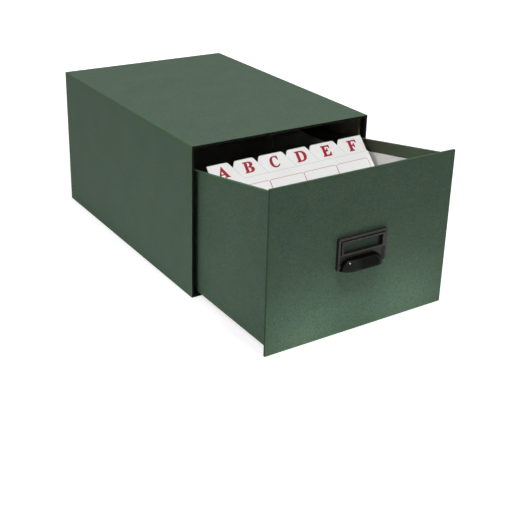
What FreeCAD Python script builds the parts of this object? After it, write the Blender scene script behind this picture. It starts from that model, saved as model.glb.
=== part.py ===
import FreeCAD, Part
import math
import os

# An index card drawer: a paper-covered board case, open at one end, with a card drawer that slides
# in it. Millimetres. +Z is up, the drawer comes out along -Y, and the origin is the middle of the
# case's base. The model stands with the drawer part-way out.

V = FreeCAD.Vector

# ---- driving dimensions ----
card_width = 220.0           # the card format the drawer is made for
card_height = 155.0
case_width = 250.0
case_height = 189.5
case_length = 360.0
board = 2.5                  # chipboard
paper = 0.3                  # covering and lining paper
sharp_fold = 0.7             # outer radius of covering paper folded round a board's edge

liner_setback = 9.0          # the inner boards stop short of the mouth
running_gap = 0.3            # clear space under the drawer

drawer_out = 153.1           # mouth of the case to the back of the front panel
drawer_shift = 0.7           # the drawer stands a little to the right in the case
drawer_width = 234.2
drawer_length = 350.0
side_height_front = 186.0    # top of the drawer's sides where they meet the panel
side_height_mouth = 158.6    # the left side's edge where it passes the mouth
side_height_back = 149.5
right_side_rise = 2.2        # the right side's sloping edge is cut this much higher
turn_in = 15.0               # how far covering paper folds over an edge

panel_width = 250.0
panel_bottom = 0.6
panel_top = 192.0
panel_board = 1.7

guide_lean = 42.0            # degrees back from upright
guide_thickness = 0.3
guide_pitch = 0.55           # one guide to the next, square to the cards
guide_top_y = -7.0           # top edge of the rearmost guide, from the mouth
guide_top_z = 167.96
guide_roll = 0.915           # degrees; the guides stand lower at their left end
tab_height = 22.4
tab_slant = 0.62             # sideways run of a tab's shoulder per millimetre down
tab_shoulder = 4.0

pull_x = -2.76               # the pull is set a little to the left on the panel
plate_width = 67.5
plate_bottom = 80.1
plate_top = 118.6
plate_rise = 4.0             # stands off the panel to take a paper label behind it
plate_wall = 0.9
plate_border = 2.6
field_depth = 1.9
field_ramp = 3.0             # the field rises to the right border over this width
window_left = -29.7
window_right = 24.4
window_bottom = 99.5
window_top = 112.3
window_frame = 2.1
cup_x = -4.2
cup_axis = 80.8              # height of the line that the hood is rounded about
cup_radius = 12.4
cup_wall = 1.2
cup_lip_rise = 1.0           # the lip is this much over the axis, and the ends as much under it
cup_skirt = math.radians(-12)
cup_straight = 31.8          # straight run between the two rounded ends
rivet_radius = 1.1
rivet_spread = 63.4
rivet_height = 85.4
washer_radius = 4.0

# ---- derived ----
mouth = -case_length / 2
rear = case_length / 2
outer_x = case_width / 2
board_x = outer_x - paper
wall_x = board_x - board
liner_x = wall_x - board
roof_z = case_height - paper - board
base_top = paper + board
deck_z = base_top + board

floor_z = deck_z + running_gap
tray_top_floor = floor_z + board
tray_x = drawer_width / 2
tray_board_x = tray_x - paper
tray_inner_x = tray_board_x - board
lined_x = tray_inner_x - paper
panel_back = mouth - drawer_out
panel_front = panel_back - panel_board - 2 * paper
tray_rear = panel_back + drawer_length
front_wall_y = panel_back + board
back_wall_y = tray_rear - paper - board
side_slope = (side_height_front - side_height_mouth) / drawer_out

lean = math.radians(guide_lean)
roll = math.radians(guide_roll)
up_card = V(0, math.sin(lean), math.cos(lean))
off_card = V(0, -math.cos(lean), math.sin(lean))
guide_origin = V(0, mouth + guide_top_y, guide_top_z)

# Left and right ends of each tab's top edge, front guide first.
tab_spans = {
    "a": (-card_width / 2, -82.9),
    "b": (-75.2, -50.7),
    "c": (-41.6, -9.9),
    "d": (-1.6, 24.4),
    "e": (32.8, 66.3),
    "f": (75.2, card_width / 2),
}
guides_shift = -0.85
foot_clear = 0.5             # the first blank card's foot is this much over the floor
front_guide_shift = -2.0     # the front guide lies a little to the left of the others


def block(x0, x1, y0, y1, z0, z1):
    return Part.makeBox(x1 - x0, y1 - y0, z1 - z0, V(x0, y0, z0))


def extrude_x(points, x0, x1):
    """Closed outline of (y, z) points, pushed along X."""
    outline = [V(x0, y, z) for y, z in points]
    return Part.Face(Part.makePolygon(outline + outline[:1])).extrude(V(x1 - x0, 0, 0))


def edges_along(shape, direction, keep):
    """Straight edges parallel to a direction whose middle passes a test."""
    found = []
    for edge in shape.Edges:
        if not isinstance(edge.Curve, Part.Line):
            continue
        if edge.tangentAt(edge.FirstParameter).cross(direction).Length > 1e-6:
            continue
        if keep(edge.CenterOfMass):
            found.append(edge)
    return found


def rounded_slab(x0, x1, z0, z1, radius, y0, y1):
    """Upright slab with its four corners rounded, seen from the front."""
    slab = block(x0, x1, y0, y1, z0, z1)
    return slab.makeFillet(radius, edges_along(slab, V(0, 1, 0), lambda p: True))


def save(name, shape):
    if not shape.isValid():
        raise ValueError(name + " is not a valid solid")
    shape.exportStep("parts/" + name + ".step")


# ---- the case ----
def case_boards():
    front = mouth + paper
    back = rear - paper
    top = block(-board_x, board_x, front, back, roof_z, roof_z + board)
    bottom = block(-board_x, board_x, front, back, paper, base_top)
    left = block(-board_x, -wall_x, front, back, base_top, roof_z)
    right = block(wall_x, board_x, front, back, base_top, roof_z)
    end = block(-wall_x, wall_x, back - board, back, base_top, roof_z)
    return {
        "case_top_board": top,
        "case_bottom_board": bottom,
        "case_left_board": left,
        "case_right_board": right,
        "case_back_board": end,
    }


def case_cover():
    """One sheet folded over the left side, the top and the right side."""
    outside = block(-outer_x, outer_x, mouth, rear - paper, paper, case_height)
    folds = edges_along(outside, V(0, 1, 0), lambda p: p.z > case_height / 2)
    outside = outside.makeFillet(sharp_fold, folds)
    return outside.cut(block(-board_x, board_x, mouth, rear - paper, 0, case_height - paper))


def case_back_sheet():
    sheet = block(-outer_x, outer_x, rear - paper, rear, paper, case_height)
    corners = edges_along(sheet, V(0, 1, 0), lambda p: p.z > case_height / 2)
    return sheet.makeFillet(sharp_fold, corners)


def case_base_sheet():
    return block(-outer_x, outer_x, mouth, rear, 0, paper)


def mouth_binding():
    """Black paper over the boards' front ends, folded back inside the mouth."""
    face = block(-board_x, board_x, mouth, mouth + paper, paper, roof_z + board)
    sleeve = block(-wall_x, wall_x, mouth + paper, mouth + liner_setback, base_top, roof_z)
    opening = block(-wall_x + paper, wall_x - paper, mouth, mouth + liner_setback,
                    base_top + paper, roof_z - paper)
    return face.fuse(sleeve).cut(opening).removeSplitter()


def case_liners():
    front = mouth + liner_setback
    back = rear - paper - board
    return {
        "runner_board_left": block(-wall_x, -liner_x, front, back, deck_z, roof_z),
        "runner_board_right": block(liner_x, wall_x, front, back, deck_z, roof_z),
        "runner_board_bottom": block(-wall_x, wall_x, front, back, base_top, deck_z),
    }


def case_lining():
    """Black paper inside the top and down the back, in one folded sheet."""
    front = mouth + liner_setback
    back = rear - paper - board
    under_top = block(-liner_x, liner_x, front, back, roof_z - paper, roof_z)
    down_back = block(-liner_x, liner_x, back - paper, back, deck_z, roof_z - paper)
    return under_top.fuse(down_back).removeSplitter()


# ---- the drawer ----
def side_outline(bottom, drop, rise):
    """Side of the drawer as (y, z) points, its top edge lowered by a distance."""
    knee_y = mouth + (side_height_mouth + rise - side_height_back) / side_slope
    outline = [
        (panel_back, bottom),
        (tray_rear - paper, bottom),
        (tray_rear - paper, side_height_back - drop),
        (knee_y, side_height_back - drop),
        (panel_back + rise / side_slope, side_height_front - drop),
    ]
    if rise:
        outline.append((panel_back, side_height_front - drop))
    return outline


def drawer_side(rise):
    return extrude_x(side_outline(tray_top_floor, paper, rise), tray_inner_x, tray_board_x)


def side_cover(rise):
    """Covering paper outside, folded over the sloping edge and down inside."""
    sheet = extrude_x(side_outline(floor_z, 0, rise), lined_x, tray_x)
    inside_board = extrude_x(side_outline(floor_z - 1, paper, rise), tray_inner_x, tray_board_x)
    below_fold = extrude_x(side_outline(floor_z - 1, turn_in, rise), lined_x, tray_inner_x)
    sheet = sheet.cut(inside_board).cut(below_fold)
    ends = block(lined_x, tray_inner_x, panel_back, front_wall_y, floor_z, case_height)
    rear_end = block(lined_x, tray_inner_x, back_wall_y, tray_rear, floor_z, case_height)
    return sheet.cut(ends).cut(rear_end)


def side_lining(rise):
    """Pale paper inside, from the floor up to the folded-in covering paper."""
    sheet = extrude_x(side_outline(tray_top_floor, turn_in, rise), lined_x, tray_inner_x)
    return sheet.common(block(lined_x, tray_inner_x, front_wall_y, back_wall_y, 0, case_height))


def drawer_floor():
    return block(-tray_board_x, tray_board_x, panel_back, tray_rear - paper, floor_z, tray_top_floor)


def wall_between_sides(y0, y1, top):
    return block(-tray_inner_x, tray_inner_x, y0, y1, tray_top_floor, top)


def rear_cover():
    """Covering paper up the back of the drawer and folded over its top edge."""
    outside = block(-tray_x, tray_x, tray_rear - paper, tray_rear, floor_z, side_height_back)
    over = block(-tray_inner_x, tray_inner_x, back_wall_y, tray_rear - paper,
                 side_height_back - paper, side_height_back)
    return outside.fuse(over).removeSplitter()


def floor_lining():
    return block(-lined_x, lined_x, front_wall_y, back_wall_y, tray_top_floor, tray_top_floor + paper)


def end_lining(y0, y1, top):
    return block(-lined_x, lined_x, y0, y1, tray_top_floor + paper, top)


# ---- the front panel ----
def panel_parts():
    half = panel_width / 2
    slab = rounded_slab(-half, half, panel_bottom, panel_top, sharp_fold, panel_front, panel_back)
    front_edges = [edge for edge in slab.Edges if abs(edge.CenterOfMass.y - panel_front) < 1e-6]
    slab = slab.makeFillet(sharp_fold / 2, front_edges)
    core = block(-half + paper, half - paper, panel_front + paper, panel_back - paper,
                 panel_bottom + paper, panel_top - paper)
    back_sheet = block(-half + turn_in, half - turn_in, panel_back - paper, panel_back,
                       panel_bottom + turn_in, panel_top - turn_in)
    return {
        "front_panel_board": core,
        "front_panel_cover": slab.cut(core).cut(back_sheet),
        "front_panel_back_sheet": back_sheet,
    }


# ---- the pull ----
def rivet_places():
    return [pull_x - rivet_spread / 2, pull_x + rivet_spread / 2]


def pin(x, radius, y0, y1):
    return Part.makeCylinder(radius, y1 - y0, V(x, y0, rivet_height), V(0, 1, 0))


def drilled(shape):
    """The rivets' holes, through whatever lies between the plate and the inside of the drawer."""
    for x in rivet_places():
        shape = shape.cut(pin(x, rivet_radius, panel_front - 2 * plate_rise, front_wall_y + board))
    return shape


def label_plate():
    """Pressed plate: raised border, sunk field, framed label window, hollow behind."""
    left = pull_x - plate_width / 2
    right = pull_x + plate_width / 2
    face = panel_front - plate_rise
    field = face + field_depth
    plate = rounded_slab(left, right, plate_bottom, plate_top, 2.2, face, panel_front)
    rim = [edge for edge in plate.Edges if abs(edge.CenterOfMass.y - face) < 1e-6]
    plate = plate.makeFillet(0.7, rim)

    sunk = rounded_slab(left + plate_border, right - plate_border, plate_bottom - 4,
                        plate_top - plate_border, 1.0, face - 1, field)
    frame = rounded_slab(window_left - window_frame, right, window_bottom - window_frame,
                         window_top + window_frame, 1.2, face, field)
    frame_rim = [edge for edge in frame.Edges if abs(edge.CenterOfMass.y - face) < 1e-6]
    ramp_start = right - plate_border - field_ramp
    ramp = Part.Face(Part.makePolygon([
        V(ramp_start, field, 0), V(right, field, 0), V(right, face, 0),
        V(right - plate_border, face, 0), V(ramp_start, field, 0)])).extrude(V(0, 0, case_height))
    plate = plate.cut(sunk.cut(frame.makeFillet(0.5, frame_rim)).cut(ramp))

    hollow = rounded_slab(left + plate_border, right - plate_border, window_bottom - 4,
                          plate_top - plate_border, 1.0, field + plate_wall, panel_front)
    window = rounded_slab(window_left, window_right, window_bottom, window_top, 0.8, face - 1,
                          panel_front)
    return plate.cut(hollow).cut(window)


def cup_section(root, x):
    """Ring section from just under the hood's axis up to its top."""
    centre = V(x, root, cup_axis)
    top = math.pi / 2
    middle = (cup_skirt + top) / 2

    def ray(radius, angle):
        return centre + V(0, -radius * math.cos(angle), radius * math.sin(angle))

    outer = cup_radius
    inner = cup_radius - cup_wall
    edges = [
        Part.Arc(ray(outer, cup_skirt), ray(outer, middle), ray(outer, top)).toShape(),
        Part.makeLine(ray(outer, top), ray(inner, top)),
        Part.Arc(ray(inner, top), ray(inner, middle), ray(inner, cup_skirt)).toShape(),
        Part.makeLine(ray(inner, cup_skirt), ray(outer, cup_skirt)),
    ]
    return Part.Face(Part.Wire(edges))


def cup_pull():
    """Hood closed above and at both ends, and open below for the fingers."""
    root = panel_front - plate_rise + field_depth
    half = cup_straight / 2
    left = cup_x - half
    right = cup_x + half
    middle = cup_section(root, left).extrude(V(cup_straight, 0, 0))
    right_end = cup_section(root, right).revolve(V(right, root, 0), V(0, 0, 1), 90)
    left_end = cup_section(root, left).revolve(V(left, root, 0), V(0, 0, -1), 90)
    hood = middle.fuse([left_end, right_end]).removeSplitter()

    front = root - cup_radius    # the opening slopes up from the plate to the lip
    fall = 2 * cup_lip_rise / cup_radius
    below = cup_axis - 2 * cup_radius
    waste = extrude_x([(front - 5, below), (root + 5, below),
                       (root + 5, cup_axis - cup_lip_rise - 5 * fall),
                       (front - 5, cup_axis + cup_lip_rise + 5 * fall)],
                      left - 2 * cup_radius, right + 2 * cup_radius)
    return hood.cut(waste)


def rivets():
    face = panel_front - plate_rise
    inside = front_wall_y + paper + 0.5
    solids = []
    for x in rivet_places():
        shank = pin(x, rivet_radius, face, inside)
        head = pin(x, rivet_radius + 0.7, face - 0.6, face)
        tail = pin(x, rivet_radius + 0.7, inside, inside + 0.6)
        solids.append(shank.fuse([head, tail]).removeSplitter())
    return Part.makeCompound(solids)


def washers():
    y0 = front_wall_y + paper
    rings = [pin(x, washer_radius, y0, y0 + 0.5) for x in rivet_places()]
    holes = [pin(x, rivet_radius, y0, y0 + 0.5) for x in rivet_places()]
    return Part.makeCompound([ring.cut(hole) for ring, hole in zip(rings, holes)])


# ---- the cards ----
def on_card(x, down, forward):
    """A point in the leaning stack: across, down from the tabs' tops, forward of the rear guide."""
    return V(x, 0, 0) + guide_origin - up_card * down + off_card * forward


def rolled(x, down):
    """A place on a guide, turned about the guide's top right corner."""
    across = x - card_width / 2
    return (card_width / 2 + across * math.cos(roll) + down * math.sin(roll),
            down * math.cos(roll) - across * math.sin(roll))


def guide(order, letter):
    """One index guide with its tab, order counted from the front."""
    forward = guide_pitch * (len(tab_spans) - 1 - order)
    left, right = tab_spans[letter]
    half = card_width / 2
    run = tab_slant * tab_height
    outline = [(-half, tab_height), (-half, tab_height + card_height),
               (half, tab_height + card_height), (half, tab_height)]
    shoulders = []
    if right < half:
        outline += [(right + run, tab_height), (right, 0)]
        shoulders.append(right)
    else:
        outline[-1] = (half, 0)
    if left > -half:
        outline += [(left, 0), (left - run, tab_height)]
        shoulders.append(left)
    else:
        outline[0] = (-half, 0)
    shift = guides_shift + (front_guide_shift if order == 0 else 0)
    points = [on_card(*rolled(x + shift, down), forward) for x, down in outline]
    sheet = Part.Face(Part.makePolygon(points + points[:1])).extrude(off_card * -guide_thickness)
    middle = off_card * (guide_thickness / 2)
    tops = [on_card(*rolled(x + shift, 0), forward) - middle for x in shoulders]
    corners = edges_along(sheet, off_card, lambda p: min(p.distanceToPoint(t) for t in tops) < 0.1)
    return sheet.makeFillet(tab_shoulder, corners)


def card_pack():
    """Blank cards behind the guides, slumped back until the last lies flat on the floor."""
    floor = tray_top_floor + paper
    front_y = front_wall_y + 2 * paper
    plane_gap = guide_thickness + running_gap
    foot_down = (guide_origin.z - plane_gap * math.sin(lean) - floor - foot_clear) / math.cos(lean)
    foot = on_card(0, foot_down, -plane_gap)
    top = foot + up_card * card_height
    last_y = back_wall_y - 2 * paper
    half_slump = (math.pi / 2 - lean) / 2
    half_foot = (front_y + last_y - card_height) / 2
    middle = V(0, half_foot + card_height * math.cos(half_slump),
               floor + card_height * math.sin(half_slump))
    last = V(0, last_y, floor + 3)
    corner = V(0, foot.y, floor)
    far_corner = V(0, last_y, floor)
    edges = [
        Part.makeLine(corner, foot),
        Part.makeLine(foot, top),
        Part.Arc(top, middle, last).toShape(),
        Part.makeLine(last, far_corner),
        Part.makeLine(far_corner, corner),
    ]
    section = Part.Face(Part.Wire(edges)).translated(V(-card_width / 2, 0, 0))
    return section.extrude(V(card_width, 0, 0))


def main():
    os.makedirs("parts", exist_ok=True)
    parts = {}
    parts.update(case_boards())
    parts["case_cover"] = case_cover()
    parts["case_back_sheet"] = case_back_sheet()
    parts["case_base_sheet"] = case_base_sheet()
    parts["mouth_binding"] = mouth_binding()
    parts.update(case_liners())
    parts["case_lining"] = case_lining()

    mirror_plane = (V(0, 0, 0), V(1, 0, 0))
    for name, make in (("drawer_{}_side", drawer_side), ("drawer_{}_cover", side_cover),
                       ("drawer_{}_lining", side_lining)):
        parts[name.format("right")] = make(right_side_rise)
        parts[name.format("left")] = make(0).mirror(*mirror_plane)
    parts["drawer_floor"] = drawer_floor()
    parts["drawer_front_wall"] = drilled(wall_between_sides(panel_back, front_wall_y,
                                                            side_height_front))
    parts["drawer_back_wall"] = wall_between_sides(back_wall_y, tray_rear - paper,
                                                   side_height_back - paper)
    parts["drawer_back_cover"] = rear_cover()
    parts["drawer_floor_lining"] = floor_lining()
    parts["drawer_front_lining"] = drilled(end_lining(front_wall_y, front_wall_y + paper,
                                                      side_height_front - turn_in))
    parts["drawer_back_lining"] = end_lining(back_wall_y - paper, back_wall_y,
                                             side_height_back - turn_in)

    for name, shape in panel_parts().items():
        parts[name] = drilled(shape)
    parts["label_plate"] = drilled(label_plate())
    parts["cup_pull"] = cup_pull()
    parts["pull_rivets"] = rivets()
    parts["pull_washers"] = washers()

    parts["card_pack"] = card_pack()
    in_case = ("case", "mouth", "runner")
    for name in parts:
        if not name.startswith(in_case):
            parts[name] = parts[name].translated(V(drawer_shift, 0, 0))
    for order, letter in enumerate(tab_spans):
        parts["index_guide_" + letter] = guide(order, letter)

    for name, shape in parts.items():
        save(name, shape)
        print(name, len(shape.Solids), round(shape.Volume / 1000, 2), "cm3")


main()
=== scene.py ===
import math
import random

import bmesh
import bpy
from mathutils import Color, Euler, Matrix, Vector


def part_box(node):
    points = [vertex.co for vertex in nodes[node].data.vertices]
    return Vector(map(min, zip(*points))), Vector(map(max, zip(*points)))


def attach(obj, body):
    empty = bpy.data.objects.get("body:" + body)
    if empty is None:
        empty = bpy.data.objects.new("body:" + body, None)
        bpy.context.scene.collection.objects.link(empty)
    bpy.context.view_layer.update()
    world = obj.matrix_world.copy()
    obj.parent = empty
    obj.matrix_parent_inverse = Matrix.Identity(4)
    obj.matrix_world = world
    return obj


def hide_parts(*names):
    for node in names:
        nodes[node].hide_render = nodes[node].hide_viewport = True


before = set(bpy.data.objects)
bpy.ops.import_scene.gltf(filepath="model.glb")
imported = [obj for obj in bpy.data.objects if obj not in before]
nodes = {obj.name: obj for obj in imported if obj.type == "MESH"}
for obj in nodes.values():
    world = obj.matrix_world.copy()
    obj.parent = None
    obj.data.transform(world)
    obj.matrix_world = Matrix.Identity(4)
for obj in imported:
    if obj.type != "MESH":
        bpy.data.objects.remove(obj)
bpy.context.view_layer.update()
mm = 0.001
print("frame loaded,", len(nodes), "nodes")


# ---- camera ----
view = {
    "place": (-0.61834, -1.06071, 0.54178),
    "azimuth": -34.187,
    "elevation": 22.513,
    "roll": 1.815,
    "lens": 67.44,
    "shift": (-0.02394, -0.10377),
}


def addCamera():
    lens = bpy.data.cameras.new("camera")
    lens.lens = view["lens"]
    lens.sensor_width = 36
    lens.shift_x, lens.shift_y = view["shift"]
    camera = bpy.data.objects.new("camera", lens)
    bpy.context.scene.collection.objects.link(camera)
    turn = Euler((math.radians(90 - view["elevation"]), 0, math.radians(view["azimuth"])))
    roll = Matrix.Rotation(math.radians(view["roll"]), 4, "Z")
    camera.matrix_world = Matrix.Translation(view["place"]) @ turn.to_matrix().to_4x4() @ roll
    bpy.context.scene.camera = camera


addCamera()


# ---- node helpers ----
def tint(red, green, blue):  # colour picker values, 0 to 255
    linear = Color((red / 255, green / 255, blue / 255)).from_srgb_to_scene_linear()
    return (linear.r, linear.g, linear.b, 1.0)


def addNode(tree, kind, wires=None, **settings):
    made = tree.nodes.new("ShaderNode" + kind)
    for name, value in settings.items():
        setattr(made, name, value)
    for name, value in (wires or {}).items():
        if isinstance(value, bpy.types.NodeSocket):
            tree.links.new(value, made.inputs[name])
        else:
            made.inputs[name].default_value = value
    return made


def calc(tree, operation, *values):
    return addNode(tree, "Math", dict(enumerate(values)), operation=operation).outputs[0]


def band(tree, value, low, high, start=0.0, end=1.0):  # clamped ramp from low to high
    wires = {"Value": value, "From Min": low, "From Max": high, "To Min": start, "To Max": end}
    return addNode(tree, "MapRange", wires).outputs["Result"]


def noise(tree, place, scale, detail=3.0, run=(1, 1, 1), rough=0.55):
    if run != (1, 1, 1):
        place = addNode(tree, "Mapping", {"Vector": place, "Scale": run}).outputs["Vector"]
    wires = {"Vector": place, "Scale": scale, "Detail": detail, "Roughness": rough}
    return addNode(tree, "TexNoise", wires).outputs["Fac"]


def cells(tree, place, scale):
    return addNode(tree, "TexVoronoi", {"Vector": place, "Scale": scale}).outputs["Distance"]


def axes(tree, place):  # a place split into across, along and up
    return tuple(addNode(tree, "SeparateXYZ", {0: place}).outputs)


def blendTint(tree, factor, first, second, mode="MIX"):
    made = addNode(tree, "Mix", {0: factor, 6: first, 7: second}, data_type="RGBA", blend_type=mode)
    return made.outputs[2]


def newFinish(name, specular):
    material = bpy.data.materials.new(name)
    material.use_nodes = True
    tree = material.node_tree
    shader = tree.nodes["Principled BSDF"]
    shader.inputs["Specular IOR Level"].default_value = specular
    place = addNode(tree, "TexCoord").outputs["Object"]
    return material, tree, shader, place


def nearestEdge(tree, place, corners):  # distance to the nearest edge of a box, on its faces
    gaps = []
    for value, low, high in zip(axes(tree, place), *corners):
        offset = calc(tree, "SUBTRACT", value, (low + high) / 2)
        gaps.append(calc(tree, "SUBTRACT", (high - low) / 2, calc(tree, "ABSOLUTE", offset)))
    small = calc(tree, "MINIMUM", gaps[0], gaps[1])
    large = calc(tree, "MAXIMUM", gaps[0], gaps[1])
    return calc(tree, "MAXIMUM", small, calc(tree, "MINIMUM", large, gaps[2]))


def joinBump(tree, shader, height, depth, strength=1.0):
    wires = {"Height": height, "Distance": depth, "Strength": strength}
    bump = addNode(tree, "Bump", wires)
    tree.links.new(bump.outputs["Normal"], shader.inputs["Normal"])


def dress(name, material):
    mesh = nodes[name].data
    if not mesh.materials:
        mesh.materials.append(material)
    for place in range(len(mesh.materials)):
        mesh.materials[place] = material


# ---- paper and board ----
greenCover = {
    "tone": (71, 90, 74), "second": (66, 86, 70), "fleck": (82, 101, 86),
    "broad": 26, "broadAmount": 0.8, "fine": 2600, "fineRun": (1, 1, 0.45), "fleckAmount": 0.35,
    "grain": 1150, "depth": 0.07 * mm, "rough": (0.6, 0.74), "specular": 0.16,
    "worn": (94, 120, 92), "wornWidth": 1.1 * mm, "wornAmount": 0.65,
    "rim": (64, 93, 63), "rimWidth": 13 * mm, "rimAmount": 0.4,
    "casts": (((75, 93, 70), 48, 0.3), ((64, 88, 76), 41, 0.35)), "speck": (640, 0.24),
}
# On the front panel the worn edge tone is darker: painted shade along the panel's edges
panelCover = dict(greenCover, rimAmount=0.2, worn=(50, 66, 53), wornWidth=1.0 * mm, wornAmount=0.6,
                  end=(38, 53, 42), endShadeWidth=0.5 * mm, shade=(18, 24, 19),
                  window=(-29.7 * mm, 24.4 * mm, 99.5 * mm, 112.3 * mm))
drawerCover = dict(greenCover, foldShade=((87, 103, 80), (60, 55, 41)), foldShadeAmount=0.85,
                   foldShadeFrom=-285 * mm, foldShadeTo=-195 * mm, middle=0.7 * mm, innerFace=114.0 * mm)
blackPaper = {
    "tone": (20, 21, 19), "second": (24, 24, 22), "fleck": (38, 37, 34),
    "broad": 34, "broadAmount": 0.7, "fine": 2200, "fineRun": (1, 0.5, 1), "fleckAmount": 0.3,
    "grain": 1400, "depth": 0.04 * mm, "rough": (0.7, 0.85), "specular": 0.08,
    "worn": (70, 66, 58), "wornWidth": 0.7 * mm, "wornAmount": 0.5,
}
blackBoard = {
    "tone": (38, 38, 33), "second": (31, 31, 27), "fleck": (60, 58, 50),
    "broad": 60, "broadAmount": 0.8, "fine": 1500, "fineRun": (0.5, 0.3, 1), "fleckAmount": 0.45,
    "grain": 900, "depth": 0.06 * mm, "rough": (0.65, 0.8), "specular": 0.1,
    "worn": (92, 88, 76), "wornWidth": 0.8 * mm, "wornAmount": 0.7,
}
# the black board painted lighter for the right runner board: painted light where light falls on it inside
# the case
paintedLitBoard = dict(blackBoard, tone=(106, 103, 86), second=(96, 92, 76), fleck=(74, 70, 56))
paleLining = {
    "tone": (250, 250, 248), "second": (243, 242, 238), "fleck": (222, 218, 210),
    "broad": 22, "broadAmount": 0.7, "fine": 1700, "fineRun": (0.35, 0.35, 1), "fleckAmount": 0.3,
    "grain": 1300, "depth": 0.03 * mm, "rough": (0.6, 0.74), "specular": 0.25,
    "worn": (176, 168, 150), "wornWidth": 2.5 * mm, "wornAmount": 0.35,
}
# the pale lining painted darker for the drawer's back wall: painted shade inside the case
shadedLining = dict(paleLining, tone=(172, 170, 163), second=(162, 160, 152), fleck=(140, 137, 128))
greyBoard = {
    "tone": (152, 143, 126), "second": (140, 130, 112), "fleck": (96, 86, 70),
    "broad": 45, "broadAmount": 0.9, "fine": 1100, "fineRun": (0.35, 0.35, 2.4), "fleckAmount": 0.5,
    "grain": 800, "depth": 0.09 * mm, "rough": (0.78, 0.9), "specular": 0.2,
    "worn": (178, 168, 150), "wornWidth": 0.8 * mm, "wornAmount": 0.5,
}
guideCard = {
    "tone": (246, 246, 245), "second": (242, 242, 240), "fleck": (228, 226, 221),
    "broad": 30, "broadAmount": 0.7, "fine": 2400, "fineRun": (0.4, 1, 1), "fleckAmount": 0.2,
    "grain": 1800, "depth": 0.012 * mm, "rough": (0.42, 0.55), "specular": 0.35,
    "worn": (204, 200, 190), "wornWidth": 1.2 * mm, "wornAmount": 0.5,
    "cut": (172, 172, 170), "cutAmount": 0.75,
}


def mottledTint(tree, place, fine, look):
    broad = noise(tree, place, look["broad"], 4)
    mottle = calc(tree, "MULTIPLY", band(tree, broad, 0.36, 0.64), look["broadAmount"])
    colour = blendTint(tree, mottle, tint(*look["tone"]), tint(*look["second"]))
    for shade, scale, amount in look.get("casts", ()):  # drifts of another hue
        drift = band(tree, noise(tree, place, scale, 3), 0.46, 0.66)
        colour = blendTint(tree, calc(tree, "MULTIPLY", drift, amount), colour, tint(*shade))
    flecks = calc(tree, "MULTIPLY", band(tree, fine, 0.56, 0.78), look["fleckAmount"])
    colour = blendTint(tree, flecks, colour, tint(*look["fleck"]))
    if "speck" in look:  # grain as coarse as the weave
        size, depth = look["speck"]
        speck = noise(tree, place, size, 1.5, (1, 1, 1), 0.7)
        light = band(tree, speck, 0.3, 0.7, 1 - depth, 1 + depth)
        colour = blendTint(tree, 1.0, colour, light, "MULTIPLY")
    return colour


def slopedEdge(tree, place, edge, slope):  # the edge that slopes down along the drawer's side
    _, along, up = axes(tree, place)
    run = calc(tree, "SUBTRACT", along, slope["front"])
    top = calc(tree, "SUBTRACT", slope["height"], calc(tree, "MULTIPLY", run, slope["fall"]))
    top = calc(tree, "MAXIMUM", top, slope["level"])
    return calc(tree, "MINIMUM", edge, calc(tree, "SUBTRACT", top, up))


def paintEndShade(tree, place, colour, look, left):  # painted shade along the panel's left end, where it meets the drawer's side
    reach = band(tree, axes(tree, place)[0], left + look["endShadeWidth"], left + 0.1 * mm, 0.0, 0.9)
    return blendTint(tree, reach, colour, tint(*look["end"]))


def shadeFold(tree, place, colour, look):  # the folded-in band painted as light and shade: lighter near the panel, darker and browner in the shade toward the case
    across, along, _ = axes(tree, place)
    side = calc(tree, "ABSOLUTE", calc(tree, "SUBTRACT", across, look["middle"]))
    face = look["innerFace"]
    inside = band(tree, side, face + 0.2 * mm, face + 0.1 * mm, 0.0, look["foldShadeAmount"])
    deep = band(tree, along, look["foldShadeFrom"], look["foldShadeTo"])
    near, far = look["foldShade"]
    return blendTint(tree, inside, colour, blendTint(tree, deep, tint(*near), tint(*far)))


def shadeWindow(tree, place, colour, look):  # painted shadow behind the label window, darkest along its right and bottom edges
    left, right, bottom, top = look["window"]
    across, _, up = axes(tree, place)
    deep = calc(tree, "MAXIMUM", band(tree, across, right - 3.4 * mm, right - 1.8 * mm),
                band(tree, up, bottom + 3.4 * mm, bottom + 0.6 * mm, 0.0, 0.8))
    inside = calc(tree, "MAXIMUM", deep, 0.42)
    for value, outer, inner in ((across, left - 1 * mm, left), (across, right + 2 * mm, right + 1 * mm),
                                (up, bottom - 2 * mm, bottom - 1 * mm), (up, top + 1 * mm, top)):
        inside = calc(tree, "MULTIPLY", inside, band(tree, value, outer, inner))
    return blendTint(tree, inside, colour, tint(*look["shade"]))


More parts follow.
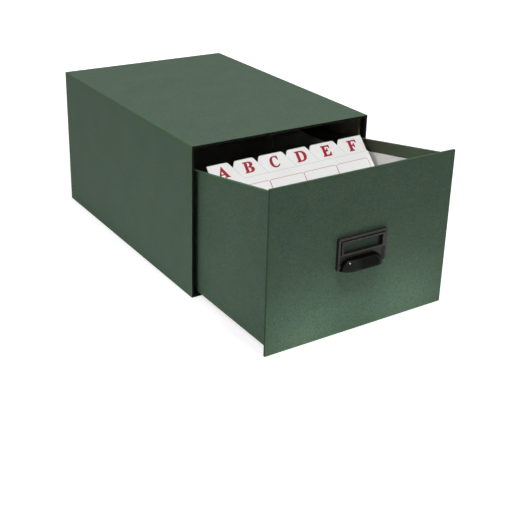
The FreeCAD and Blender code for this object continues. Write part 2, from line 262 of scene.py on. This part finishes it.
def sheetFinish(name, look, corners, turnIn=0.0, slope=None, cut=None):
    material, tree, shader, place = newFinish(name, look["specular"])
    fine = noise(tree, place, look["fine"], 2, look["fineRun"])
    colour = mottledTint(tree, place, fine, look)
    edge = nearestEdge(tree, place, corners)
    if slope:
        edge = slopedEdge(tree, place, edge, slope)
    if "rim" in look:  # a greener tone painted near the edges
        reach = calc(tree, "MULTIPLY", band(tree, edge, look["rimWidth"], 0.0), look["rimAmount"])
        colour = blendTint(tree, reach, colour, tint(*look["rim"]))
    patches = band(tree, noise(tree, place, 190, 4), 0.38, 0.68)
    rub = calc(tree, "MULTIPLY", band(tree, edge, look["wornWidth"], 0.0), patches)
    rub = calc(tree, "MULTIPLY", rub, look["wornAmount"])
    colour = blendTint(tree, rub, colour, tint(*look["worn"]))
    if cut:  # a grey line painted along a guide's outline: its cut edge and the painted shade it casts on the guide behind
        cutEdgeShadeMask = band(tree, cut(tree, place), 0.5 * mm, 0.15 * mm)
        cutEdgeShadeMask = calc(tree, "MULTIPLY", cutEdgeShadeMask, look["cutAmount"])
        colour = blendTint(tree, cutEdgeShadeMask, colour, tint(*look["cut"]))
    if "end" in look:
        colour = paintEndShade(tree, place, colour, look, corners[0].x)
    if "foldShade" in look:
        colour = shadeFold(tree, place, colour, look)
    if "window" in look:
        colour = shadeWindow(tree, place, colour, look)
    tree.links.new(colour, shader.inputs["Base Color"])

    height = calc(tree, "MULTIPLY_ADD", fine, 0.5, cells(tree, place, look["grain"]))
    if turnIn:  # folded-in paper shows through as a low step
        step = band(tree, edge, turnIn + 0.5 * mm, turnIn - 0.5 * mm, 0.0, 1.6)
        height = calc(tree, "ADD", height, step)
    joinBump(tree, shader, height, look["depth"], 0.8)
    smooth = calc(tree, "ADD", fine, calc(tree, "MULTIPLY", rub, 0.4))
    tree.links.new(band(tree, smooth, 0.3, 0.8, *look["rough"]), shader.inputs["Roughness"])
    return material


def dressSheets():
    sideSlope = {"front": -333.1 * mm, "height": 186.0 * mm, "fall": 0.179, "level": 149.5 * mm}
    slopes = {"drawer_left_cover": sideSlope,
              "drawer_right_cover": dict(sideSlope, height=188.2 * mm)}
    turned = {"case_back_sheet": 15 * mm, "case_base_sheet": 15 * mm}
    groups = (
        (greenCover, "green", ("case_cover", "case_back_sheet", "case_base_sheet",
                               "drawer_back_cover", "front_panel_back_sheet")),
        (drawerCover, "green", ("drawer_left_cover", "drawer_right_cover")),
        (panelCover, "green", ("front_panel_cover",)),
        (blackPaper, "black_paper", ("mouth_binding", "case_lining")),
        (blackBoard, "black_board", ("runner_board_bottom", "runner_board_left")),
        (paintedLitBoard, "painted_lit_board", ("runner_board_right",)),
        (paleLining, "lining", ("drawer_left_lining", "drawer_right_lining", "drawer_floor_lining",
                                "drawer_front_lining")),
        (shadedLining, "shaded_lining", ("drawer_back_lining",)),
        (greyBoard, "board", ("case_top_board", "case_bottom_board", "case_left_board", "case_right_board",
                              "case_back_board", "drawer_left_side", "drawer_right_side", "drawer_floor",
                              "drawer_front_wall", "drawer_back_wall", "front_panel_board")),
    )
    for look, word, names in groups:
        for name in names:
            turnIn, slope = turned.get(name, 0.0), slopes.get(name)
            dress(name, sheetFinish(word + "_" + name, look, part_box(name), turnIn, slope))


dressSheets()
print("paper and board dressed")


# ---- the pull ----
plateEnamel = {
    "tone": (34, 33, 31), "second": (27, 27, 25), "worn": (86, 84, 79),
    "face": -339.4 * mm, "wornDepth": 0.5 * mm, "wornAmount": 0.42,
    "peel": 900, "depth": 0.03 * mm, "rough": (0.34, 0.5), "specular": 0.25,
}
cupEnamel = {
    "tone": (8, 8, 7), "second": (12, 11, 10), "worn": (40, 38, 35),
    "peel": 420, "depth": 0.02 * mm, "rough": (0.09, 0.14), "specular": 0.08,
    "polished": 0.18, "polishFrom": -7 * mm, "polishTo": -17 * mm,
}
rivetEnamel = dict(plateEnamel, tone=(30, 29, 27))
zincPlate = {
    "tone": (176, 177, 178), "second": (150, 151, 152), "stain": (120, 112, 98),
    "brush": 1500, "depth": 0.02 * mm, "rough": (0.25, 0.42),
}


def enamelFinish(name, look, corners):
    material, tree, shader, place = newFinish(name, look["specular"])
    cloud = noise(tree, place, 160, 4)
    colour = blendTint(tree, band(tree, cloud, 0.35, 0.65), tint(*look["tone"]), tint(*look["second"]))
    peel = noise(tree, place, look["peel"], 2)
    patches = band(tree, noise(tree, place, 700, 4), 0.4, 0.62)
    rub = band(tree, nearestEdge(tree, place, corners), 0.5 * mm, 0.0)
    if "face" in look:  # raised rims painted bright: part rubbed wear, part painted highlight where light catches them
        depth = calc(tree, "SUBTRACT", axes(tree, place)[1], look["face"])
        rimRubAndHighlight = band(tree, depth, look["wornDepth"], 0.0, 0.0, look["wornAmount"])
        rub = calc(tree, "MAXIMUM", rub, rimRubAndHighlight)
    rub = calc(tree, "MULTIPLY", rub, patches)
    colour = blendTint(tree, rub, colour, tint(*look["worn"]))
    tree.links.new(colour, shader.inputs["Base Color"])
    scratches = noise(tree, place, 500, 3, (1, 1, 9))
    smear = calc(tree, "MULTIPLY_ADD", scratches, 0.5, calc(tree, "MULTIPLY", peel, 0.5))
    tree.links.new(band(tree, smear, 0.35, 0.65, *look["rough"]), shader.inputs["Roughness"])
    if "polished" in look:  # a glossier end
        gloss = band(tree, axes(tree, place)[0], look["polishFrom"], look["polishTo"],
                     look["specular"], look["polished"])
        tree.links.new(gloss, shader.inputs["Specular IOR Level"])
    joinBump(tree, shader, calc(tree, "ADD", peel, calc(tree, "MULTIPLY", rub, -0.4)), look["depth"], 0.6)
    return material


def steelFinish(name, look):
    material, tree, shader, place = newFinish(name, 0.5)
    shader.inputs["Metallic"].default_value = 1.0
    brush = noise(tree, place, look["brush"], 3, (1, 1, 0.08))
    stain = band(tree, noise(tree, place, 300, 4), 0.52, 0.75)
    colour = blendTint(tree, band(tree, brush, 0.3, 0.7), tint(*look["tone"]), tint(*look["second"]))
    colour = blendTint(tree, calc(tree, "MULTIPLY", stain, 0.4), colour, tint(*look["stain"]))
    tree.links.new(colour, shader.inputs["Base Color"])
    tree.links.new(band(tree, brush, 0.3, 0.7, *look["rough"]), shader.inputs["Roughness"])
    joinBump(tree, shader, brush, look["depth"], 0.5)
    return material


for name, word, look in (("label_plate", "plate_enamel", plateEnamel),
                         ("pull_rivets", "rivet_enamel", rivetEnamel),
                         ("cup_pull", "cup_enamel", cupEnamel)):
    dress(name, enamelFinish(word, look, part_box(name)))
dress("pull_washers", steelFinish("zinc_plate", zincPlate))
print("pull dressed")


# ---- the index guides ----
lean = math.radians(42)
upCard = Vector((0, math.sin(lean), math.cos(lean)))
offCard = Vector((0, -math.cos(lean), math.sin(lean)))
guideTop = Vector((0, -187.0 * mm, 167.96 * mm))
guidePitch = 0.55 * mm
guideRoll = math.radians(0.915)
guides = "abcdef"

# Millimetres on the flat guide. A spot is a letter's middle, rise, stretch and added stroke.
printing = {
    "ink": (160, 16, 40), "rule": (184, 72, 94), "paleShare": 0.82, "paleAdd": 44,
    "capUnits": 676, "capHeight": 12.9, "capBottom": 17.5,
    "spots": (
        (-93.0, 0.25, 1.15, 0), (-59.8, 0.25, 1.1, 0), (-24.2, 0.1, 0.96, 0.53),
        (14.3, 0.0, 1.13, 0.54), (52.1, -0.1, 0.98, 0.66), (92.4, -0.35, 1.16, 0.57),
    ),
    "columns": (-106.4, -86.5, -38.3, 9.9, 57.8, 106.4),
    "rows": (31.3, 62.0), "corner": 2.6, "line": 0.42, "gap": 0.25,
    "lift": 0.03, "shift": -0.85, "frontShift": -2.85, "hinge": 110.0,
    "tabs": ((None, -82.9), (-75.2, -50.7), (-41.6, -9.9), (-1.6, 24.4), (32.8, 66.3), (75.2, None)),
    "tabHeight": 22.4, "slant": 0.62,
}

quarterHandle = 0.5523  # handle of a quarter circle, as a share of its radius

# Bold roman capitals, 676 units high: m moves, l draws a line, c a curve.
capitals = {
    "A": "m -12 -22 l -12 38 c 40 42 58 60 88 128 l 338 712 l 380 712 l 634 122 "
         "c 664 56 672 44 711 40 l 711 -22 l 389 -22 l 389 40 c 440 42 452 50 452 66 "
         "c 452 74 449 84 440 104 l 416 158 l 214 158 l 188 100 c 184 90 181 80 181 72 "
         "c 181 50 200 42 253 40 l 253 -22 z m 238 234 l 386 234 l 311 410 z",
    "B": "m -6 -22 l -6 40 c 58 43 70 52 70 100 l 70 576 c 70 624 58 634 -6 637 l -6 698 l 305 698 "
         "c 495 698 604 630 604 515 c 604 440 560 392 480 358 c 580 336 641 275 641 185 "
         "c 641 55 530 -22 325 -22 z m 264 388 l 264 620 l 285 620 c 350 620 392 590 392 510 "
         "c 392 428 350 388 280 388 z m 264 312 l 290 312 c 375 312 424 268 424 186 "
         "c 424 100 380 55 300 55 l 264 55 z",
    "C": "m 657 691 l 657 458 l 636 458 c 602 588 522 656 416 656 c 282 656 216 541 216 348 "
         "c 216 130 292 20 430 20 c 520 20 600 60 672 138 l 687 123 c 613 30 522 -19 402 -19 "
         "c 196 -19 49 124 49 333 c 49 545 200 691 404 691 c 450 691 495 684 541 668 "
         "c 562 660 577 656 587 656 c 605 656 622 668 632 691 z",
    "D": "m 14 0 l 14 19 c 78 22 92 36 92 95 l 92 581 c 92 640 78 654 14 657 l 14 676 l 325 676 "
         "c 560 676 690 555 690 342 c 690 125 545 0 318 0 z m 242 35 l 242 640 l 300 640 "
         "c 450 640 528 540 528 338 c 528 136 446 35 300 35 z",
    "E": "m 16 0 l 16 19 c 80 22 94 36 94 95 l 94 581 c 94 640 80 654 16 657 l 16 676 l 608 676 "
         "l 614 510 l 590 510 c 565 605 520 640 410 640 l 290 640 c 256 640 244 630 244 600 "
         "l 244 366 l 282 366 c 360 366 392 390 408 475 l 431 475 l 431 222 l 408 222 "
         "c 394 302 360 330 282 330 l 244 330 l 244 90 c 244 52 262 36 306 36 l 370 36 "
         "c 505 36 570 82 614 198 l 641 198 l 618 0 z",
    "F": "m 16 0 l 16 19 c 80 22 94 36 94 95 l 94 581 c 94 640 80 654 16 657 l 16 676 l 576 676 "
         "l 583 510 l 560 510 c 536 602 500 640 395 640 l 290 640 c 256 640 244 630 244 600 "
         "l 244 366 l 274 366 c 350 366 386 392 402 475 l 425 475 l 425 222 l 402 222 "
         "c 388 302 352 330 274 330 l 244 330 l 244 95 c 244 36 262 22 330 19 l 330 0 z",
}


def addLoop(curve, points):  # points are (place, handle before, handle after)
    spline = curve.splines.new("BEZIER")
    spline.bezier_points.add(len(points) - 1)
    for knot, (place, before, after) in zip(spline.bezier_points, points):
        knot.handle_left_type = knot.handle_right_type = "FREE"
        knot.co = (*place, 0)
        knot.handle_left = (*before, 0)
        knot.handle_right = (*after, 0)
    spline.use_cyclic_u = True


def drawCapital(curve, letter, spot):
    size = printing["capHeight"] / printing["capUnits"]
    words = capitals[letter].split()
    across = [float(word) for word in words if word not in "mlcz"][0::2]
    centre = (min(across) + max(across)) / 2
    middle, rise, stretch, bold = spot

    def pen(index):
        x, y = float(words[index]), float(words[index + 1])
        return (middle + (x - centre) * size * stretch, y * size + rise - printing["capBottom"])

    index, points = 0, []
    while index < len(words):
        word = words[index]
        if word in "ml":
            knot = pen(index + 1)
            points.append([knot, knot, knot])
            index += 3
        elif word == "c":
            points[-1][2] = pen(index + 1)
            knot = pen(index + 5)
            points.append([knot, pen(index + 3), knot])
            index += 7
        else:
            knots = [point[0] for point in points]
            area = sum(a[0] * b[1] - b[0] * a[1] for a, b in zip(knots, knots[1:] + knots[:1]))
            if (area > 0) != bool(curve.splines):  # outlines run clockwise, holes the other way
                points = [(knot, after, before) for knot, before, after in reversed(points)]
            addLoop(curve, points)
            points = []
            index += 1
    curve.offset = bold


def drawBox(curve, left, right, top, bottom, corner):
    pull = corner * quarterHandle
    places = ((left, bottom, 1, 1), (right, bottom, -1, 1), (right, top, -1, -1), (left, top, 1, -1))
    points = []
    for x, y, sx, sy in places:
        upright = ((x, y + sy * corner), (x, y + sy * (corner - pull)))
        level = ((x + sx * corner, y), (x + sx * (corner - pull), y))
        first, second = (upright, level) if sx == sy else (level, upright)
        points.append([first[0], first[0], first[1]])
        points.append([second[0], second[1], second[0]])
    addLoop(curve, points)


def drawRules(curve):
    columns = printing["columns"]
    top, bottom = (-row for row in printing["rows"])
    half, line, corner = printing["gap"] / 2, printing["line"], printing["corner"]
    for left, right in zip(columns, columns[1:]):
        drawBox(curve, left + half, right - half, top, bottom, corner)
        drawBox(curve, left + half + line, right - half - line, top - line, bottom + line, corner - line)


def flatMesh(name, draw, *values):  # a filled drawing as a mesh, in millimetres
    curve = bpy.data.curves.new(name, "CURVE")
    curve.dimensions = "2D"
    curve.fill_mode = "BOTH"
    curve.resolution_u = 6
    curve.extrude = 0.01
    draw(curve, *values)
    holder = bpy.data.objects.new(name + "_drawn", curve)
    bpy.context.scene.collection.objects.link(holder)
    bpy.context.view_layer.update()
    mesh = bpy.data.meshes.new_from_object(holder.evaluated_get(bpy.context.evaluated_depsgraph_get()))
    bpy.data.objects.remove(holder)
    bpy.data.curves.remove(curve)
    return mesh


def inkFinish(name, colour):
    material, tree, shader, place = newFinish(name, 0.3)
    cloud = noise(tree, place, 700, 4)
    fibre = noise(tree, place, 2600, 2, (0.4, 1, 1))
    deep = tint(*colour)
    pale = tint(*(min(255, int(part * printing["paleShare"] + printing["paleAdd"])) for part in colour))
    patchy = calc(tree, "MULTIPLY", band(tree, cloud, 0.45, 0.7), 0.22)
    base = blendTint(tree, patchy, deep, pale)
    tree.links.new(base, shader.inputs["Base Color"])
    tree.links.new(band(tree, cloud, 0.3, 0.7, 0.38, 0.52), shader.inputs["Roughness"])
    joinBump(tree, shader, fibre, 0.01 * mm, 0.5)
    return material


def printGuides():
    ink = inkFinish("letter_ink", printing["ink"])
    rule = inkFinish("rule_ink", printing["rule"])
    for order, letter in enumerate(guides):
        forward = guidePitch * (len(guides) - 1 - order) + printing["lift"] * mm
        hinge = Vector((printing["hinge"], 0, 0))
        shift = Vector((printing["shift" if order else "frontShift"], 0, 0))
        rolled = Matrix.Translation(hinge) @ Matrix.Rotation(guideRoll, 4, "Z")
        rolled = rolled @ Matrix.Translation(shift - hinge)
        onCard = Matrix((Vector((1, 0, 0)), upCard, offCard)).transposed().to_4x4()
        onCard = Matrix.Translation(guideTop + offCard * forward) @ onCard @ Matrix.Scale(mm, 4) @ rolled
        piece = bmesh.new()
        for finish, drawing in enumerate((
                flatMesh("capital", drawCapital, letter.upper(), printing["spots"][order]),
                flatMesh("rules", drawRules))):
            before = set(piece.faces)
            piece.from_mesh(drawing)
            for face in set(piece.faces) - before:
                face.material_index = finish
            bpy.data.meshes.remove(drawing)
        bmesh.ops.remove_doubles(piece, verts=piece.verts, dist=0.001)
        bmesh.ops.transform(piece, matrix=onCard, verts=piece.verts)
        bmesh.ops.recalc_face_normals(piece, faces=piece.faces)
        mesh = bpy.data.meshes.new("print_" + letter)
        piece.to_mesh(mesh)
        piece.free()
        mesh.materials.append(ink)
        mesh.materials.append(rule)
        made = bpy.data.objects.new("print_" + letter, mesh)
        bpy.context.scene.collection.objects.link(made)
        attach(made, "guide_" + letter)


def tabEdge(order):  # distance in from a guide's outline, worked out on its own face
    across = Vector((math.cos(guideRoll), 0, 0)) + upCard * math.sin(guideRoll)
    downward = Vector((math.sin(guideRoll), 0, 0)) - upCard * math.cos(guideRoll)
    hinge = Vector((printing["hinge"] * mm, guideTop.y, guideTop.z))
    shift = printing["shift" if order else "frontShift"] * mm
    left, right = (end * mm if end else None for end in printing["tabs"][order])
    reach = 1 / math.hypot(1, printing["slant"])

    def along(tree, fromHinge, way):
        wires = {0: fromHinge, 1: way}
        return addNode(tree, "VectorMath", wires, operation="DOT_PRODUCT").outputs["Value"]

    def measure(tree, place):
        fromHinge = addNode(tree, "VectorMath", {0: place, 1: hinge}, operation="SUBTRACT").outputs[0]
        x = calc(tree, "ADD", along(tree, fromHinge, across), hinge.x - shift)
        down = along(tree, fromHinge, downward)
        run = calc(tree, "MULTIPLY", down, printing["slant"])
        tab = down
        if left:
            gap = calc(tree, "ADD", calc(tree, "SUBTRACT", x, left), run)
            tab = calc(tree, "MINIMUM", tab, calc(tree, "MULTIPLY", gap, reach))
        if right:
            gap = calc(tree, "SUBTRACT", calc(tree, "ADD", run, right), x)
            tab = calc(tree, "MINIMUM", tab, calc(tree, "MULTIPLY", gap, reach))
        body = calc(tree, "SUBTRACT", down, printing["tabHeight"] * mm)
        return calc(tree, "MAXIMUM", tab, body)
    return measure


for order, letter in enumerate(guides):
    name = "index_guide_" + letter
    dress(name, sheetFinish("card_" + letter, guideCard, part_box(name), cut=tabEdge(order)))
printGuides()
print("index guides printed")


# ---- the blank cards ----
heap = {
    "cards": 168, "height": 155.0, "width": 220.0, "thickness": 0.32,
    "frontLean": 42.0, "lastLean": 88.6, "sag": 1.6, "stray": 0.5, "seed": 7,
    "frontGap": 0.4, "backGap": 0.5, "footGap": 0.414,
}
blankCard = {
    "tone": (240, 238, 233), "warm": (230, 223, 208), "cool": (230, 233, 237),
    "fibre": (205, 200, 190), "cloud": (214, 208, 196),
    "rough": (0.5, 0.64), "specular": 0.3, "depth": 0.012 * mm,
}


def cardFinish():
    look = blankCard
    material, tree, shader, place = newFinish("blank_card_stock", look["specular"])
    own = addNode(tree, "Attribute", attribute_name="ownTone").outputs["Fac"]
    warmth = band(tree, own, 0.5, 1.0, 0.0, 0.8)
    colour = blendTint(tree, warmth, tint(*look["tone"]), tint(*look["warm"]))
    colour = blendTint(tree, band(tree, own, 0.3, 0.0, 0.0, 0.8), colour, tint(*look["cool"]))
    fibre = noise(tree, place, 2200, 3, (0.4, 1, 1))
    cloud = noise(tree, place, 40, 4)
    colour = blendTint(tree, band(tree, fibre, 0.55, 0.8, 0.0, 0.25), colour, tint(*look["fibre"]))
    colour = blendTint(tree, band(tree, cloud, 0.5, 0.75, 0.0, 0.2), colour, tint(*look["cloud"]))
    tree.links.new(colour, shader.inputs["Base Color"])
    tree.links.new(band(tree, fibre, 0.3, 0.7, *look["rough"]), shader.inputs["Roughness"])
    joinBump(tree, shader, fibre, look["depth"], 0.6)
    return material


def stackCards():
    low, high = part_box("card_pack")
    chance = random.Random(heap["seed"])
    tall, wide, thick = heap["height"] * mm, heap["width"] * mm, heap["thickness"] * mm
    firstLean, lastLean = math.radians(heap["frontLean"]), math.radians(heap["lastLean"])
    firstFoot = low.y + heap["frontGap"] * mm
    lastFoot = high.y - tall - heap["backGap"] * mm
    pile = bmesh.new()
    own = pile.verts.layers.float.new("ownTone")
    bmesh.ops.create_cube(pile, size=1, matrix=Matrix.Diagonal((wide, thick, tall, 1)))
    rails = [edge for edge in pile.edges if abs(edge.verts[0].co.z - edge.verts[1].co.z) > tall / 2]
    bmesh.ops.subdivide_edges(pile, edges=rails, cuts=3, use_grid_fill=True)
    blank = pile.verts[:] + pile.edges[:] + pile.faces[:]
    for count in range(heap["cards"]):
        share = count / (heap["cards"] - 1)
        copied = bmesh.ops.duplicate(pile, geom=blank)["geom"]
        card = [part for part in copied if isinstance(part, bmesh.types.BMVert)]
        tone = chance.random()
        for vert in card:  # a card bows under its own weight
            along = vert.co.z / tall
            vert.co.y += heap["sag"] * mm * (1 - 4 * along * along) * math.sin(share * math.pi) ** 0.5
            vert[own] = tone
        angle = firstLean + (lastLean - firstLean) * share
        foot = firstFoot + (lastFoot - firstFoot) * share
        stray = heap["stray"] * mm * chance.uniform(-1, 1) * min(1, share * 12)
        spot = Vector((stray, foot, low.z + heap["footGap"] * mm))
        turn = Matrix.Rotation(-angle, 4, "X")
        lift = Matrix.Translation((0, thick / 2, tall / 2))
        bmesh.ops.transform(pile, matrix=Matrix.Translation(spot) @ turn @ lift, verts=card)
    spare = [part for part in blank if isinstance(part, bmesh.types.BMVert)]
    bmesh.ops.delete(pile, geom=spare, context="VERTS")
    bmesh.ops.recalc_face_normals(pile, faces=pile.faces)
    mesh = bpy.data.meshes.new("blank_cards")
    pile.to_mesh(mesh)
    pile.free()
    mesh.materials.append(cardFinish())
    made = bpy.data.objects.new("blank_cards", mesh)
    bpy.context.scene.collection.objects.link(made)
    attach(made, "drawer")
    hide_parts("card_pack")


stackCards()
print("blank cards stacked")


# ---- floor, light and air ----
# A lamp is its name, place, aim, size, power, spread in degrees, and whether it shows in a gloss.
studio = {
    "floor": 14.0, "floorDrop": 0.3 * mm, "floorTone": (236, 236, 236), "floorFade": 0.4,
    "glow": (2.0, 2.6), "glowFrom": 0.45, "glowTo": 1.1,
    "air": 0.0,
    "lamps": (
        ("overhead", (0, 0, 1.7), (0, 0, 0.1), (1.2, 1.2), 5.4, 180, True),
        ("left_top", (-0.6, -0.25, 1.5), (0, -0.2, 0.15), (0.4, 0.4), 3.0, 180, False),
        ("left_low", (-1.3, -0.3, 0.12), (0, -0.1, 0.05), (0.5, 0.5), 3.6, 180, False),
        ("front_top", (-0.03, -0.88, 1.48), (0, -0.2, 0.15), (0.18, 0.24), 12.3, 180, True),
        ("right_fill", (1.4, 0.1, 0.25), (0.1, 0, 0.1), (0.6, 0.6), 8.0, 180, False),
        ("back_fill", (0.1, 1.4, 0.25), (0, 0.1, 0.1), (0.6, 0.6), 8.0, 180, False),
        ("board_left", (-0.065, -0.43, 0.003), (-0.077, -0.334, 0.003), (0.07, 0.01), 0.053, 130, False),
        ("board_right", (0.065, -0.43, 0.003), (0.077, -0.334, 0.003), (0.07, 0.01), 0.053, 130, False),
        ("board_side", (-0.38, -0.26, 0.004), (-0.117, -0.26, 0.004), (0.2, 0.02), 0.06, 130, False),
        ("board_back", (-0.42, -0.05, 0.004), (-0.125, -0.05, 0.004), (0.3, 0.02), 0.09, 130, False),
        ("glint_high", (0.03, -0.49, 1.36), (0, -0.35, 0.09), (0.08, 0.08), 0.6, 180, True),
    ),
}


def seenByEye(tree):  # straight from the camera, in a gloss or through glass
    rays = addNode(tree, "LightPath").outputs
    seen = calc(tree, "MAXIMUM", rays["Is Camera Ray"], rays["Is Glossy Ray"])
    return calc(tree, "MAXIMUM", seen, rays["Is Transmission Ray"])


def addFloor():
    ground = bmesh.new()
    bmesh.ops.create_grid(ground, x_segments=1, y_segments=1, size=studio["floor"] / 2)
    bmesh.ops.translate(ground, verts=ground.verts, vec=(0, 0, -studio["floorDrop"]))
    mesh = bpy.data.meshes.new("floor")
    ground.to_mesh(mesh)
    ground.free()
    floor = bpy.data.objects.new("floor", mesh)
    bpy.context.scene.collection.objects.link(floor)
    material, tree, shader, place = newFinish("floor_paper", 0.1)
    shader.inputs["Base Color"].default_value = tint(*studio["floorTone"])
    shader.inputs["Roughness"].default_value = 0.9
    away = addNode(tree, "VectorMath", {0: place}, operation="LENGTH").outputs["Value"]
    strength = band(tree, away, studio["glowFrom"], studio["glowTo"], *studio["glow"])
    glow = addNode(tree, "Emission", {"Color": (1, 1, 1, 1), "Strength": strength}).outputs[0]
    seen = seenByEye(tree)
    share = calc(tree, "MULTIPLY", seen, studio["floorFade"])
    mixed = addNode(tree, "MixShader", {0: share, 1: shader.outputs[0], 2: glow})
    tree.links.new(mixed.outputs[0], tree.nodes["Material Output"].inputs["Surface"])
    mesh.materials.append(material)


def addAir():
    world = bpy.data.worlds.new("air")
    world.use_nodes = True
    bpy.context.scene.world = world
    tree = world.node_tree
    seen = seenByEye(tree)
    strength = band(tree, seen, 0.0, 1.0, studio["air"], 1.0)
    tree.links.new(strength, tree.nodes["Background"].inputs["Strength"])
    tree.nodes["Background"].inputs["Color"].default_value = (1, 1, 1, 1)


def addLamps():
    for name, place, aim, size, power, spread, shows in studio["lamps"]:
        light = bpy.data.lights.new(name, "AREA")
        light.shape = "RECTANGLE"
        light.size, light.size_y = size
        light.energy = power
        light.spread = math.radians(spread)
        lamp = bpy.data.objects.new(name, light)
        bpy.context.scene.collection.objects.link(lamp)
        ahead = Vector(aim) - Vector(place)
        lamp.matrix_world = Matrix.Translation(place) @ ahead.to_track_quat("-Z", "Y").to_matrix().to_4x4()
        lamp.visible_camera = False
        lamp.visible_glossy = shows


addFloor()
addAir()
addLamps()
scene = bpy.context.scene
scene.view_settings.view_transform = "Standard"
print("studio set")
